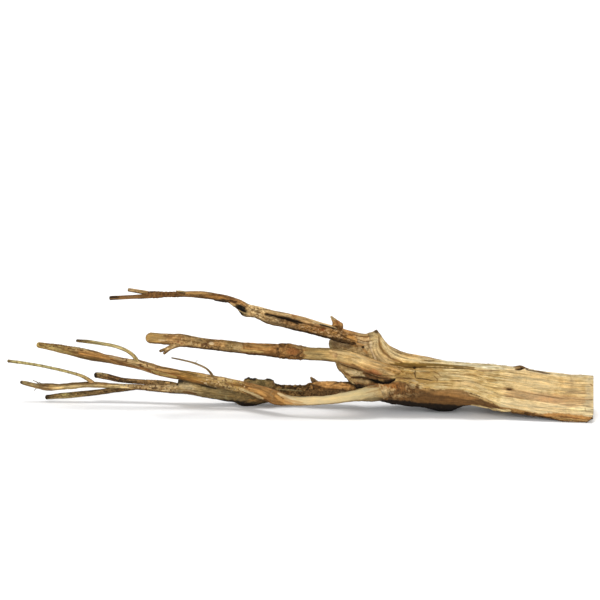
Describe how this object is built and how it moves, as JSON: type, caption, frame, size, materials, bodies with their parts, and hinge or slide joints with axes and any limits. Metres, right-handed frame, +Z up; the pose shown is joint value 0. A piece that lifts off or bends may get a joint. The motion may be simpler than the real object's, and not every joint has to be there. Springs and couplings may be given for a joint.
{
  "type": "branching driftwood",
  "caption": "Dry branching driftwood that lies on its side: a split, sawn trunk tears at one end into long thin branches and twigs.",
  "frame": {"origin": "on the surface that the wood lies on, under the middle of its box", "axes": "+X along the wood towards the sawn end, +Y away from the side of the split face, +Z up"},
  "size_m": [0.6089, 0.0986, 0.1274],
  "materials": {
    "trunk_wood": "dry split wood, straw coloured, with brown bark below",
    "upper_branch_wood": "dry wood, grey-brown bark with orange bare stretches",
    "middle_branch_wood": "dry wood, smooth bark worn to tan and orange",
    "front_limb_wood": "smooth bare wood, pale cream",
    "long_limb_wood": "dry wood, orange-brown with thin grey bark",
    "back_limb_wood": "rough dark bark over orange-brown wood",
    "lower_limb_wood": "smooth bark, olive-grey to golden brown",
    "thin_twig_wood": "smooth yellowish twig",
    "dark_stub_wood": "rough dark bark with light flecks",
    "low_prong_wood": "worn dark olive-brown bark"
  },
  "bodies": {
    "root": {"trunk": "trunk_wood", "upper_branch": "upper_branch_wood", "middle_branch": "middle_branch_wood", "front_limb": "front_limb_wood", "long_limb": "long_limb_wood", "back_limb": "back_limb_wood", "lower_limb": "lower_limb_wood", "thin_twig": "thin_twig_wood", "dark_stub": "dark_stub_wood", "low_prong": "low_prong_wood"}
  },
  "joints": []
}
